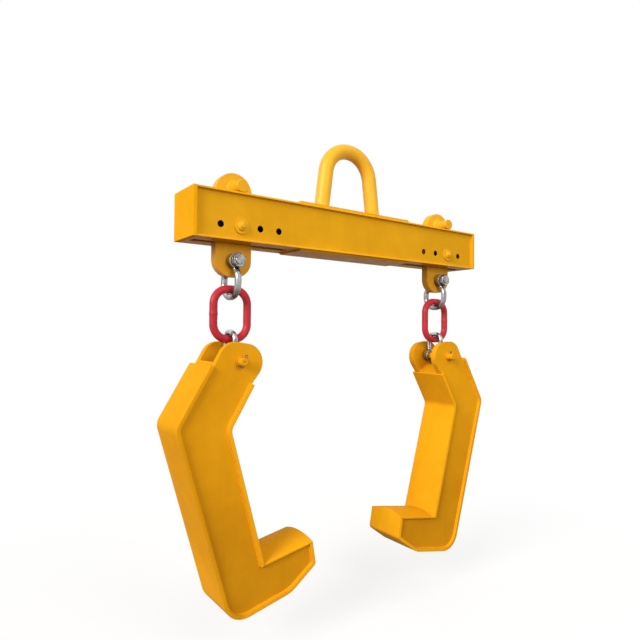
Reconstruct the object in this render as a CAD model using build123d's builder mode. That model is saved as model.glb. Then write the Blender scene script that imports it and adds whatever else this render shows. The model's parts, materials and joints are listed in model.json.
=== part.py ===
"""Coil lifter: a box beam on a bail, with two box-section claws hung on shackles and links.

The frame has +X along the beam to the right, +Y to the rear and +Z up. The origin is the
inside of the bail's crown, where a crane hook carries the whole lifter.
"""
import os
from math import atan2, cos, radians, sin, tan

from build123d import *

# Beam, a welded box whose flanges and end plates stand proud of its webs
beam_length = 2520
beam_width = 302
beam_height = 300
flange_thickness = 12
web_thickness = 16
flange_lip = 22
end_plate_thickness = 24
doubler_length = 1000
doubler_width = 256
top_doubler_thickness = 20
bottom_doubler_thickness = 12
diaphragm_thickness = 16
outer_diaphragm_spacing = 1040

# Bail, one bent round bar standing on the top doubler
bail_bar_diameter = 108
bail_inner_height = 403
bail_foot_spacing = 480
bail_shoulder_spacing = 360
bail_crown_flat = 9

# Lock holes through both webs, four stations at each end of the beam
lock_hole_diameter = 36
lock_hole_pitch = 136
lock_hole_count = 4
lock_hole_end_margin = 184
lock_hole_drop = 57
hanger_station = 1

# Hanger plate, hung from a cross pin that lies on the top flange
hanger_thickness = 62
hanger_width = 250
hanger_head_rise = 20
lug_pin_drop = 112
lug_end_margin = 98
lug_corner_radius = 105
slot_clearance = 4
cross_pin_diameter = 80
cross_pin_chamfer = 3

# Lock bolt that holds the hanger at its station
washer_diameter = 95
washer_thickness = 10
bolt_head_diameter = 58
bolt_head_height = 24
bolt_head_chamfer = 4
nut_across_flats = 55
nut_height = 28
bolt_point = 12

# Upper shackle, with a bolt-type pin
shackle_pin_diameter = 54
upper_bar_diameter = 44
shackle_jaw = 74
shackle_eye_diameter = 102
shackle_eye_width = 44
upper_bow_width = 150
upper_bow_reach = 200
upper_bow_shoulder = 95
bow_neck = 42
bow_crown_flat = 20
bow_leg_bend_radius = 60
pin_head_diameter = 84
pin_head_height = 16
pin_head_chamfer = 4
pin_nut_across_flats = 80
pin_nut_height = 38
pin_point = 8

# Oblong link
link_bar_diameter = 51
link_outer_width = 285
link_outer_height = 365
link_corner_radius = 95

# Lower shackle, whose eyes ride on the claw pin
lower_bar_diameter = 36
lower_bow_width = 96
lower_bow_reach = 161
lower_bow_shoulder = 88

# Claw, drawn with its leg upright, its pin at the origin and x toward the coil
claw_hang_angle = 15.6
claw_plate_thickness = 46
claw_plate_spread = 290
claw_flange_width = 326
claw_flange_thickness = 25
claw_pin_diameter = 52
arm_angle = 44
arm_outer_offset = 164
arm_depth = 317
leg_inner_offset = 169
leg_elbow_depth = 328
leg_heel_depth = 309
inner_flange_start = 80
outer_flange_start = 114
outer_elbow_radius = 90
inner_elbow_radius = 60
ear_radius = 116
ear_inner_offset = 36
ear_inner_rise = 14
ear_outer_offset = 24
ear_outer_drop = 10
ear_side_offset = 140
ear_shoulder = 20
foot_drop = 1256
foot_slope = 5.5
foot_reach = 369
pad_edge_thickness = 10
pad_crown_radius = 470
nose_height = 156
nose_corner_radius = 26
heel_depth = 244
heel_radius = 145
sole_depth = 272
sole_break = 134
sole_bend_radius = 220
sole_joint_rise = 316
closing_plate_thickness = 20
claw_pin_end = 56
claw_pin_head_diameter = 84
claw_pin_head_height = 18
claw_pin_chamfer = 4
claw_washer_diameter = 66
claw_washer_thickness = 8
split_pin_diameter = 10
split_pin_inset = 14
split_pin_tilt = 28
split_pin_stand_out = 16
split_pin_eye_diameter = 26

# Clearances
running_clearance = 0.05
link_clearance = 0.5

# Heights and stations worked out from the sizes above
doubler_top = -bail_inner_height
beam_top = doubler_top - top_doubler_thickness
beam_middle = beam_top - beam_height / 2
beam_bottom = beam_top - beam_height
web_height = beam_height - 2 * flange_thickness
inside_length = beam_length - 2 * end_plate_thickness
web_offset = beam_width / 2 - flange_lip - web_thickness / 2
web_face = beam_width / 2 - flange_lip
lock_height = beam_middle - lock_hole_drop
outer_lock_x = beam_length / 2 - lock_hole_end_margin
lock_row_middle = outer_lock_x - (lock_hole_count - 1) * lock_hole_pitch / 2
hanger_x = outer_lock_x - hanger_station * lock_hole_pitch
slot_length = (lock_hole_count - 1) * lock_hole_pitch + hanger_width + 2 * slot_clearance
slot_width = hanger_thickness + 2 * slot_clearance
cross_pin_height = beam_top + cross_pin_diameter / 2
shackle_pin_height = beam_bottom - lug_pin_drop
eye_offset = shackle_jaw / 2 + shackle_eye_width / 2
eye_face = shackle_jaw / 2 + shackle_eye_width
link_top = shackle_pin_height - upper_bow_reach + link_clearance + link_bar_diameter / 2
link_bottom = link_top - link_outer_height + link_bar_diameter
claw_pin_height = link_bottom + link_bar_diameter / 2 + link_clearance - lower_bow_reach
plate_face = claw_plate_spread / 2
plate_middle = plate_face - claw_plate_thickness / 2
plate_gap = claw_plate_spread - 2 * claw_plate_thickness

# Planes of the left-hand set, which the right-hand set mirrors
front_plane = Plane.XZ
hang = radians(claw_hang_angle)
claw_plane = Plane(
    origin=(-hanger_x, 0, claw_pin_height),
    x_dir=(cos(hang), 0, sin(hang)),
    z_dir=(0, -1, 0),
)
pin_plane = Plane(origin=(-hanger_x, 0, claw_pin_height), x_dir=(1, 0, 0), z_dir=(0, -1, 0))
shackle_plane = Plane(origin=(-hanger_x, 0, shackle_pin_height), x_dir=(1, 0, 0), z_dir=(0, -1, 0))


def arm_point(offset, distance):
    """A point of the claw's arm: offset to the outer side of its axis, distance down from the pin."""
    along = radians(arm_angle)
    x = -offset * sin(along) - distance * cos(along)
    y = offset * cos(along) - distance * sin(along)
    return (x, y)


def arm_crossing(offset, x):
    """The point where the line at this offset from the arm's axis meets the upright line at x."""
    along = radians(arm_angle)
    distance = (-x - offset * sin(along)) / cos(along)
    return arm_point(offset, distance)


def foot_point(along, below):
    """A point of the foot: along its top from the leg's face toward the nose, and below that top."""
    slope = radians(foot_slope)
    x = -leg_inner_offset + along * cos(slope) - below * sin(slope)
    y = -foot_drop - along * sin(slope) - below * cos(slope)
    return (x, y)


def bow_points(bar_diameter, width, reach, shoulder):
    """Corners of a shackle bow's centreline, from one eye round the crown to the other."""
    half = width / 2 + bar_diameter / 2
    crown = reach + bar_diameter / 2
    one_leg = [(eye_offset, 0), (eye_offset, bow_neck), (half, shoulder), (half, crown)]
    other_leg = [(-x, y) for x, y in reversed(one_leg)]
    return one_leg + other_leg


def bow_radii(bar_diameter, width):
    """Bends of a shackle bow's centreline: two gentle ones in each leg and the two of the crown."""
    crown = width / 2 + bar_diameter / 2 - bow_crown_flat / 2
    return (bow_leg_bend_radius, bow_leg_bend_radius, crown, crown, bow_leg_bend_radius, bow_leg_bend_radius)


# Welded box of the beam
with BuildPart() as beam_top_flange:
    with BuildSketch(Plane.XY.offset(beam_top - flange_thickness)):
        Rectangle(inside_length, beam_width)
        with GridLocations(2 * lock_row_middle, 0, 2, 1):
            Rectangle(slot_length, slot_width, mode=Mode.SUBTRACT)
    extrude(amount=flange_thickness)

with BuildPart() as beam_bottom_flange:
    with BuildSketch(Plane.XY.offset(beam_bottom)):
        Rectangle(inside_length, beam_width)
        with GridLocations(2 * lock_row_middle, 0, 2, 1):
            Rectangle(slot_length, slot_width, mode=Mode.SUBTRACT)
    extrude(amount=flange_thickness)

beam_pieces = {
    "beam_top_flange": beam_top_flange.part,
    "beam_bottom_flange": beam_bottom_flange.part,
}

for web_name, web_y in (("beam_front_web", -web_offset), ("beam_rear_web", web_offset)):
    with BuildPart() as web:
        with BuildSketch(Plane.XZ.offset(-web_y)):
            with Locations((0, beam_middle)):
                Rectangle(inside_length, web_height)
            for row_x in (-lock_row_middle, lock_row_middle):
                with Locations((row_x, lock_height)):
                    with GridLocations(lock_hole_pitch, 0, lock_hole_count, 1):
                        Circle(lock_hole_diameter / 2, mode=Mode.SUBTRACT)
        extrude(amount=web_thickness / 2, both=True)
    beam_pieces[web_name] = web.part

for end_name, end_x in (("end_plate_left", -beam_length / 2), ("end_plate_right", inside_length / 2)):
    with BuildPart() as end_plate:
        with BuildSketch(Plane.YZ.offset(end_x)):
            with Locations((0, beam_middle)):
                Rectangle(beam_width, beam_height)
        extrude(amount=end_plate_thickness)
    beam_pieces[end_name] = end_plate.part

diaphragm_stations = {
    "diaphragm_left_outer": -outer_diaphragm_spacing / 2,
    "diaphragm_left_inner": -bail_foot_spacing / 2,
    "diaphragm_right_inner": bail_foot_spacing / 2,
    "diaphragm_right_outer": outer_diaphragm_spacing / 2,
}
for diaphragm_name, diaphragm_x in diaphragm_stations.items():
    with BuildPart() as diaphragm:
        with BuildSketch(Plane.YZ.offset(diaphragm_x)):
            with Locations((0, beam_middle)):
                Rectangle(2 * web_offset - web_thickness, web_height)
        extrude(amount=diaphragm_thickness / 2, both=True)
    beam_pieces[diaphragm_name] = diaphragm.part

with BuildPart() as top_doubler:
    with BuildSketch(Plane.XY.offset(beam_top)):
        Rectangle(doubler_length, doubler_width)
    extrude(amount=top_doubler_thickness)
beam_pieces["top_doubler"] = top_doubler.part

with BuildPart() as bottom_doubler:
    with BuildSketch(Plane.XY.offset(beam_bottom - bottom_doubler_thickness)):
        Rectangle(doubler_length, doubler_width)
    extrude(amount=bottom_doubler_thickness)
beam_pieces["bottom_doubler"] = bottom_doubler.part

# Bail: the crown's bends take up the shoulders but for a short flat under the hook
bail_crown = bail_bar_diameter / 2
bail_lean = atan2((bail_foot_spacing - bail_shoulder_spacing) / 2, bail_crown - doubler_top)
bail_turn = radians(90) - bail_lean
bail_bend_radius = (bail_shoulder_spacing - bail_crown_flat) / 2 / tan(bail_turn / 2)
bail_foot_run = bail_bar_diameter / 2 * tan(bail_lean)
bail_foot_x = bail_foot_spacing / 2 + bail_foot_run * sin(bail_lean)
bail_foot_z = doubler_top - bail_foot_run * cos(bail_lean)
with BuildPart() as lifting_bail:
    with BuildLine(front_plane) as bail_path:
        FilletPolyline(
            (-bail_foot_x, bail_foot_z),
            (-bail_shoulder_spacing / 2, bail_crown),
            (bail_shoulder_spacing / 2, bail_crown),
            (bail_foot_x, bail_foot_z),
            radius=bail_bend_radius,
        )
    with BuildSketch(Plane(origin=bail_path.line @ 0, z_dir=bail_path.line % 0)):
        Circle(bail_bar_diameter / 2)
    sweep(path=bail_path.line)
    split(bisect_by=Plane.XY.offset(doubler_top), keep=Keep.TOP)
beam_pieces["lifting_bail"] = lifting_bail.part

# Hanger plate: a rounded head above the beam, a flat body through it and a lug below it
lug_bottom = shackle_pin_height - lug_end_margin
head_centre = beam_top + hanger_head_rise
with BuildPart() as hanger_plate:
    with BuildSketch(front_plane):
        with BuildLine():
            FilletPolyline(
                (-hanger_x - hanger_width / 2, head_centre),
                (-hanger_x - hanger_width / 2, lug_bottom),
                (-hanger_x + hanger_width / 2, lug_bottom),
                (-hanger_x + hanger_width / 2, head_centre),
                radius=lug_corner_radius,
            )
            ThreePointArc(
                (-hanger_x + hanger_width / 2, head_centre),
                (-hanger_x, head_centre + hanger_width / 2),
                (-hanger_x - hanger_width / 2, head_centre),
            )
        make_face()
        with Locations((-hanger_x, cross_pin_height)):
            Circle(cross_pin_diameter / 2, mode=Mode.SUBTRACT)
        with Locations((-hanger_x, lock_height)):
            Circle(lock_hole_diameter / 2, mode=Mode.SUBTRACT)
        with Locations((-hanger_x, shackle_pin_height)):
            Circle(shackle_pin_diameter / 2 + running_clearance, mode=Mode.SUBTRACT)
    extrude(amount=hanger_thickness / 2, both=True)

with BuildPart() as cross_pin:
    with BuildSketch(front_plane):
        with Locations((-hanger_x, cross_pin_height)):
            Circle(cross_pin_diameter / 2)
    extrude(amount=beam_width / 2, both=True)
    chamfer(cross_pin.edges().filter_by(GeomType.CIRCLE), cross_pin_chamfer)

# Lock bolt: head in front, nut behind, a washer under each
washer_face = web_face + washer_thickness
with BuildPart() as lock_bolt:
    with BuildSketch(front_plane.offset(washer_face)):
        with Locations((-hanger_x, lock_height)):
            Circle(bolt_head_diameter / 2)
    extrude(amount=bolt_head_height)
    chamfer(lock_bolt.faces().sort_by(Axis.Y)[0].edges(), bolt_head_chamfer)
    with BuildSketch(front_plane.offset(washer_face)):
        with Locations((-hanger_x, lock_height)):
            Circle(lock_hole_diameter / 2)
    extrude(amount=-2 * washer_face - nut_height - bolt_point)

washers = {}
for washer_name, washer_y in (("lock_washer_front", web_face), ("lock_washer_rear", -washer_face)):
    with BuildPart() as washer:
        with BuildSketch(front_plane.offset(washer_y)):
            with Locations((-hanger_x, lock_height)):
                Circle(washer_diameter / 2)
                Circle(lock_hole_diameter / 2, mode=Mode.SUBTRACT)
        extrude(amount=washer_thickness)
    washers[washer_name] = washer.part

with BuildPart() as lock_nut:
    with BuildSketch(front_plane.offset(-washer_face)):
        with Locations((-hanger_x, lock_height)):
            RegularPolygon(nut_across_flats / 2, side_count=6, major_radius=False)
            Circle(lock_hole_diameter / 2, mode=Mode.SUBTRACT)
    extrude(amount=-nut_height)

# Upper shackle: a bow in the plane across the beam, hung on a pin through the hanger's lug
upper_bow_plane = Plane(origin=(-hanger_x, 0, shackle_pin_height), x_dir=(0, 1, 0), z_dir=(-1, 0, 0))
upper_bow_points = bow_points(upper_bar_diameter, upper_bow_width, upper_bow_reach, upper_bow_shoulder)
upper_bow_radii = bow_radii(upper_bar_diameter, upper_bow_width)
with BuildPart() as upper_shackle_bow:
    with BuildLine(upper_bow_plane) as upper_bow_path:
        FilletPolyline(*upper_bow_points, radius=upper_bow_radii)
    with BuildSketch(Plane(origin=upper_bow_path.line @ 0, z_dir=upper_bow_path.line % 0)):
        Circle(upper_bar_diameter / 2)
    sweep(path=upper_bow_path.line)
    for eye_y in (-eye_offset, eye_offset):
        with BuildSketch(shackle_plane.offset(eye_y)):
            Circle(shackle_eye_diameter / 2)
        extrude(amount=shackle_eye_width / 2, both=True)
    for face_y, depth in ((-eye_face, -upper_bow_width), (eye_face, upper_bow_width)):
        with BuildSketch(shackle_plane.offset(face_y)):
            Circle(shackle_eye_diameter / 2)
        extrude(amount=depth, mode=Mode.SUBTRACT)
    with BuildSketch(shackle_plane):
        Circle(shackle_eye_diameter / 2)
    extrude(amount=shackle_jaw / 2, both=True, mode=Mode.SUBTRACT)
    with BuildSketch(shackle_plane):
        Circle(shackle_pin_diameter / 2)
    extrude(amount=eye_face, both=True, mode=Mode.SUBTRACT)

with BuildPart() as upper_shackle_pin:
    with BuildSketch(shackle_plane.offset(-eye_face)):
        Circle(pin_head_diameter / 2)
    extrude(amount=-pin_head_height)
    chamfer(upper_shackle_pin.faces().sort_by(Axis.Y)[-1].edges(), pin_head_chamfer)
    with BuildSketch(shackle_plane.offset(-eye_face)):
        Circle(shackle_pin_diameter / 2)
    extrude(amount=2 * eye_face + pin_nut_height + pin_point)

with BuildPart() as upper_shackle_nut:
    with BuildSketch(shackle_plane.offset(eye_face)):
        RegularPolygon(pin_nut_across_flats / 2, side_count=6, major_radius=False)
        Circle(shackle_pin_diameter / 2, mode=Mode.SUBTRACT)
    extrude(amount=pin_nut_height)

# Oblong link of round bar, hanging in the upper bow
link_half_width = (link_outer_width - link_bar_diameter) / 2
with BuildPart() as oblong_link:
    with BuildLine(front_plane) as link_path:
        FilletPolyline(
            (-hanger_x - link_half_width, link_top),
            (-hanger_x + link_half_width, link_top),
            (-hanger_x + link_half_width, link_bottom),
            (-hanger_x - link_half_width, link_bottom),
            radius=link_corner_radius,
            close=True,
        )
    with BuildSketch(Plane(origin=link_path.line @ 0, z_dir=link_path.line % 0)):
        Circle(link_bar_diameter / 2)
    sweep(path=link_path.line)

# Lower shackle: a thinner bar bent narrower, so that it passes between the claw's ears
lower_bow_plane = Plane(origin=(-hanger_x, 0, claw_pin_height), x_dir=(0, 1, 0), z_dir=(1, 0, 0))
lower_bow_points = bow_points(lower_bar_diameter, lower_bow_width, lower_bow_reach, lower_bow_shoulder)
lower_bow_radii = bow_radii(lower_bar_diameter, lower_bow_width)
with BuildPart() as lower_shackle_bow:
    with BuildLine(lower_bow_plane) as lower_bow_path:
        FilletPolyline(*lower_bow_points, radius=lower_bow_radii)
    with BuildSketch(Plane(origin=lower_bow_path.line @ 0, z_dir=lower_bow_path.line % 0)):
        Circle(lower_bar_diameter / 2)
    sweep(path=lower_bow_path.line)
    for eye_y in (-eye_offset, eye_offset):
        with BuildSketch(pin_plane.offset(eye_y)):
            Circle(shackle_eye_diameter / 2)
        extrude(amount=shackle_eye_width / 2, both=True)
    for face_y, depth in ((-eye_face, -lower_bow_width), (eye_face, lower_bow_width)):
        with BuildSketch(pin_plane.offset(face_y)):
            Circle(shackle_eye_diameter / 2)
        extrude(amount=depth, mode=Mode.SUBTRACT)
    with BuildSketch(pin_plane):
        Circle(shackle_eye_diameter / 2)
    extrude(amount=shackle_jaw / 2, both=True, mode=Mode.SUBTRACT)
    with BuildSketch(pin_plane):
        Circle(claw_pin_diameter / 2 + running_clearance)
    extrude(amount=eye_face, both=True, mode=Mode.SUBTRACT)

# Corners of the claw's outer surface
arm_inner_offset = arm_outer_offset - arm_depth
leg_inner_x = -leg_inner_offset
outer_elbow = arm_crossing(arm_outer_offset, leg_inner_x - leg_elbow_depth)
inner_elbow = arm_crossing(arm_inner_offset, leg_inner_x)
heel = (leg_inner_x - leg_heel_depth, -foot_drop - heel_depth)
leg_taper = (outer_elbow[0] - heel[0]) / (outer_elbow[1] - heel[1])
sole_joint = (heel[0] + sole_joint_rise * leg_taper, heel[1] + sole_joint_rise)
sole_corner = (leg_inner_x + sole_break, -foot_drop - sole_depth)
nose_top = foot_point(foot_reach, 0)
nose_bottom = foot_point(foot_reach, nose_height)

# Bent flange plates of the claw, each an outline thickened inward
with BuildPart() as claw_outer_flange:
    with BuildSketch(claw_plane):
        with BuildLine():
            FilletPolyline(
                arm_point(arm_outer_offset, outer_flange_start),
                outer_elbow,
                sole_joint,
                radius=outer_elbow_radius,
            )
            offset(amount=claw_flange_thickness, side=Side.LEFT)
        make_face()
    extrude(amount=claw_flange_width / 2, both=True)

with BuildPart() as claw_sole_plate:
    with BuildSketch(claw_plane):
        with BuildLine():
            FilletPolyline(
                sole_joint,
                heel,
                sole_corner,
                nose_bottom,
                foot_point(foot_reach, pad_edge_thickness),
                radius=(heel_radius, sole_bend_radius, nose_corner_radius),
            )
            offset(amount=claw_flange_thickness, side=Side.LEFT)
        make_face()
    extrude(amount=claw_flange_width / 2, both=True)

with BuildPart() as claw_inner_flange:
    with BuildSketch(claw_plane):
        with BuildLine():
            FilletPolyline(
                arm_point(arm_inner_offset, inner_flange_start),
                inner_elbow,
                (leg_inner_x, -foot_drop - pad_edge_thickness),
                radius=inner_elbow_radius,
            )
            offset(amount=claw_flange_thickness, side=Side.RIGHT)
        make_face()
    extrude(amount=claw_flange_width / 2, both=True)

# Foot pad: a crowned bar across the foot, cut to the leg's face
foot_corner = claw_plane.from_local_coords(nose_top)
foot_root = claw_plane.from_local_coords((leg_inner_x, -foot_drop))
foot_direction = (foot_corner - foot_root).normalized()
pad_plane = Plane(origin=foot_corner, x_dir=(0, 1, 0), z_dir=foot_direction)
leg_face_plane = Plane(origin=foot_root, z_dir=claw_plane.x_dir)
pad_half = claw_flange_width / 2
with BuildPart() as claw_foot_pad:
    with BuildSketch(pad_plane):
        with BuildLine():
            Polyline(
                (-pad_half, 0),
                (-pad_half, -pad_edge_thickness),
                (pad_half, -pad_edge_thickness),
                (pad_half, 0),
            )
            RadiusArc((pad_half, 0), (-pad_half, 0), -pad_crown_radius)
        make_face()
    extrude(amount=-foot_reach - pad_edge_thickness)
    split(bisect_by=leg_face_plane, keep=Keep.TOP)

# Side plates: what the flanges and the pad leave of the claw's outline, with an ear around the claw pin
ear_inner_centre = arm_point(-ear_inner_offset, -ear_inner_rise)
ear_outer_centre = arm_point(ear_outer_offset, ear_outer_drop)
plate_outer_offset = arm_outer_offset - claw_flange_thickness
plate_inner_offset = arm_inner_offset + claw_flange_thickness
claw_pieces = {}
for plate_name, plate_y in (("claw_front_plate", plate_middle), ("claw_rear_plate", -plate_middle)):
    with BuildPart() as claw_plate:
        with BuildSketch(claw_plane.offset(plate_y)):
            with BuildLine():
                outer_edge = FilletPolyline(
                    arm_point(arm_outer_offset, outer_flange_start),
                    outer_elbow,
                    heel,
                    sole_corner,
                    nose_bottom,
                    nose_top,
                    radius=(outer_elbow_radius, heel_radius, sole_bend_radius, nose_corner_radius),
                )
                inner_edge = FilletPolyline(
                    (leg_inner_x, -foot_drop),
                    inner_elbow,
                    arm_point(arm_inner_offset, inner_flange_start),
                    radius=inner_elbow_radius,
                )
                Line(outer_edge @ 1, inner_edge @ 0)
                Polyline(
                    inner_edge @ 1,
                    arm_point(plate_outer_offset, inner_flange_start),
                    arm_point(plate_outer_offset, outer_flange_start),
                    outer_edge @ 0,
                )
            make_face()
        extrude(amount=claw_plate_thickness / 2, both=True)
        with BuildSketch(claw_plane.offset(plate_y)):
            with Locations(ear_inner_centre, ear_outer_centre):
                Circle(ear_radius)
            with BuildLine():
                Polyline(
                    arm_point(plate_outer_offset, inner_flange_start - ear_shoulder),
                    arm_point(plate_outer_offset, inner_flange_start),
                    arm_point(-ear_side_offset, inner_flange_start),
                )
            make_hull()
            Circle(claw_pin_diameter / 2, mode=Mode.SUBTRACT)
        extrude(amount=claw_plate_thickness / 2, both=True)
        for flange in (claw_outer_flange, claw_sole_plate, claw_inner_flange, claw_foot_pad):
            add(flange.part, mode=Mode.SUBTRACT)
    claw_pieces[plate_name] = claw_plate.part

with BuildPart() as claw_closing_plate:
    with BuildSketch(claw_plane):
        with BuildLine():
            Polyline(
                arm_point(plate_outer_offset, inner_flange_start),
                arm_point(plate_outer_offset, inner_flange_start + closing_plate_thickness),
                arm_point(plate_inner_offset, inner_flange_start + closing_plate_thickness),
                arm_point(plate_inner_offset, inner_flange_start),
                close=True,
            )
        make_face()
    extrude(amount=plate_gap / 2, both=True)

# Claw pin: head behind, washer and split pin in front
pin_end_face = plate_face + claw_pin_end
split_pin_middle = (-hanger_x, split_pin_inset - pin_end_face, claw_pin_height)
tilt = radians(split_pin_tilt)
split_pin_plane = Plane(origin=split_pin_middle, x_dir=(0, 1, 0), z_dir=(sin(tilt), 0, cos(tilt)))
with BuildPart() as claw_pin:
    with BuildSketch(pin_plane.offset(-plate_face)):
        Circle(claw_pin_head_diameter / 2)
    extrude(amount=-claw_pin_head_height)
    chamfer(claw_pin.faces().sort_by(Axis.Y)[-1].edges(), claw_pin_chamfer)
    with BuildSketch(pin_plane.offset(-plate_face)):
        Circle(claw_pin_diameter / 2)
    extrude(amount=plate_face + pin_end_face)
    chamfer(claw_pin.faces().sort_by(Axis.Y)[0].edges(), claw_pin_chamfer)
    with BuildSketch(split_pin_plane):
        Circle(split_pin_diameter / 2)
    extrude(amount=claw_pin_diameter / 2, both=True, mode=Mode.SUBTRACT)

with BuildPart() as claw_washer:
    with BuildSketch(pin_plane.offset(plate_face)):
        Circle(claw_washer_diameter / 2)
        Circle(claw_pin_diameter / 2, mode=Mode.SUBTRACT)
    extrude(amount=claw_washer_thickness)

split_pin_reach = claw_pin_diameter / 2 + split_pin_stand_out
split_pin_top = split_pin_plane.from_local_coords((0, 0, split_pin_reach))
with BuildPart() as split_pin:
    with BuildSketch(split_pin_plane):
        Circle(split_pin_diameter / 2)
    extrude(amount=split_pin_reach, both=True)
    with Locations(Plane(origin=split_pin_top, z_dir=(0, 1, 0))):
        Torus(split_pin_eye_diameter / 2 - split_pin_diameter / 2, split_pin_diameter / 2)

left_pieces = {
    "hanger_plate": hanger_plate.part,
    "cross_pin": cross_pin.part,
    "lock_bolt": lock_bolt.part,
    "lock_washer_front": washers["lock_washer_front"],
    "lock_washer_rear": washers["lock_washer_rear"],
    "lock_nut": lock_nut.part,
    "upper_shackle_bow": upper_shackle_bow.part,
    "upper_shackle_pin": upper_shackle_pin.part,
    "upper_shackle_nut": upper_shackle_nut.part,
    "oblong_link": oblong_link.part,
    "lower_shackle_bow": lower_shackle_bow.part,
    "claw_front_plate": claw_pieces["claw_front_plate"],
    "claw_rear_plate": claw_pieces["claw_rear_plate"],
    "claw_outer_flange": claw_outer_flange.part,
    "claw_inner_flange": claw_inner_flange.part,
    "claw_sole_plate": claw_sole_plate.part,
    "claw_foot_pad": claw_foot_pad.part,
    "claw_closing_plate": claw_closing_plate.part,
    "claw_pin": claw_pin.part,
    "claw_washer": claw_washer.part,
    "split_pin": split_pin.part,
}

# The beam stands alone; the rest comes as a left-hand and a mirrored right-hand piece
os.makedirs("parts", exist_ok=True)
for name, solid in beam_pieces.items():
    solid.label = name
    export_step(solid, f"parts/{name}.step")

for name, left_solid in left_pieces.items():
    with BuildPart() as right_piece:
        mirror(left_solid, about=Plane.YZ)
    for side, solid in (("left", left_solid), ("right", right_piece.part)):
        solid.label = f"{name}_{side}"
        export_step(solid, f"parts/{name}_{side}.step")
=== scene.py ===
"""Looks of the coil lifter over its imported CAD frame: broken edges, welds, threads, paint, light and camera.

Lengths are in metres in the frame of the CAD: +X right along the beam, +Y to the rear, +Z up,
with the origin on the inside of the bail's crown. Left-hand pieces are worked out, and right-hand
ones are their mirror images.
"""
import json
from math import atan2, cos, exp, pi, radians, sin, sqrt, tan

import bmesh
import bpy
from mathutils import Matrix, Vector
from mathutils.geometry import tessellate_polygon

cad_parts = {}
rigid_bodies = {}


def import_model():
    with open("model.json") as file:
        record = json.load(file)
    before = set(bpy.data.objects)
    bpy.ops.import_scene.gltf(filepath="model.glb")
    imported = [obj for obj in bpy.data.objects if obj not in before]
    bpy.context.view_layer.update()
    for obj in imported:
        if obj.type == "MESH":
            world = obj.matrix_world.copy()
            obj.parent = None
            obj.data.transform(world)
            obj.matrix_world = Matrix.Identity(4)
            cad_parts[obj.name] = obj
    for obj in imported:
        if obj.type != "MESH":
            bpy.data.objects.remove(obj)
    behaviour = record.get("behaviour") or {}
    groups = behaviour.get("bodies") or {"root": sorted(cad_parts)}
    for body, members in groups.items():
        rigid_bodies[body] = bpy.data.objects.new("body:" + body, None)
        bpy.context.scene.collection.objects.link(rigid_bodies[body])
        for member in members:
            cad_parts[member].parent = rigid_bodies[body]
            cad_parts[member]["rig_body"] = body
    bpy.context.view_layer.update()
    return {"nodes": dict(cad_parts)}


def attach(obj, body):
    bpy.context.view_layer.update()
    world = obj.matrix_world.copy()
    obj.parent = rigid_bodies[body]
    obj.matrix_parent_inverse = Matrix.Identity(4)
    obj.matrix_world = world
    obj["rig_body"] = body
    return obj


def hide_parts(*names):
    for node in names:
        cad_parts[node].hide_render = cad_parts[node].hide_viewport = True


for leftover in list(bpy.data.objects):
    bpy.data.objects.remove(leftover)
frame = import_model()

# Sizes that the CAD source drives, in metres
BEAM_LENGTH = 2.520
FLANGE, END_PLATE = 0.012, 0.024
WEB_FACE = 0.129
DOUBLER_LENGTH, DOUBLER_WIDTH = 1.000, 0.256
BEAM_TOP, BEAM_BOTTOM, DOUBLER_TOP = -0.423, -0.723, -0.403
BAIL_RADIUS, BAIL_FOOT_X, BAIL_SHOULDER_X, BAIL_CROWN_FLAT = 0.054, 0.240, 0.180, 0.009
HANGER_X, HANGER_HALF = 0.940, 0.031
CROSS_PIN_RADIUS, CROSS_PIN_Z = 0.040, -0.383
LOCK_Z, LOCK_RADIUS = -0.630, 0.018
WASHER_FACE = 0.139
BOLT_HEAD_RADIUS, BOLT_HEAD, BOLT_TIP_RADIUS = 0.029, 0.024, 0.0135
LOCK_NUT_FLATS, LOCK_NUT, BOLT_POINT = 0.055, 0.028, 0.012
SHACKLE_PIN_Z, SHACKLE_PIN_RADIUS, EYE_FACE = -0.835, 0.027, 0.081
PIN_HEAD_RADIUS, PIN_HEAD = 0.042, 0.016
PIN_NUT_FLATS, PIN_NUT, PIN_POINT = 0.080, 0.038, 0.008
LINK_BAR, LINK_HALF_WIDTH, LINK_CORNER = 0.0255, 0.117, 0.095
LINK_TOP, LINK_BOTTOM = -1.009, -1.323
CLAW_PIN_Z, CLAW_PIN_RADIUS = -1.458, 0.026
CLAW_PIN_HEAD, CLAW_PIN_HEAD_END, CLAW_PIN_TIP = 0.042, 0.163, -0.201
CLAW_HANG = radians(15.6)
PLATE_FACE, PLATE_INSIDE, CLAW_LIP = 0.145, 0.099, 0.163
CLAW_FLANGE = 0.025
ARM_ANGLE = radians(44)
ARM_OUTER, ARM_INNER = 0.164, -0.153
LEG_INNER, LEG_ELBOW, LEG_HEEL = -0.169, -0.497, -0.478
OUTER_START, INNER_START = 0.114, 0.080
FOOT_DROP, FOOT_SLOPE, FOOT_REACH = 1.256, radians(5.5), 0.369
PAD_EDGE, PAD_CROWN, NOSE_HEIGHT = 0.010, 0.470, 0.156
HEEL_DEPTH, SOLE_DEPTH, SOLE_BREAK = 0.244, 0.272, 0.134
OUTER_ELBOW, INNER_ELBOW, HEEL_BEND, SOLE_BEND, NOSE_BEND = 0.090, 0.060, 0.145, 0.220, 0.026
SPLIT_PIN_Y, SPLIT_PIN_TILT = -0.187, radians(28)

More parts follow.
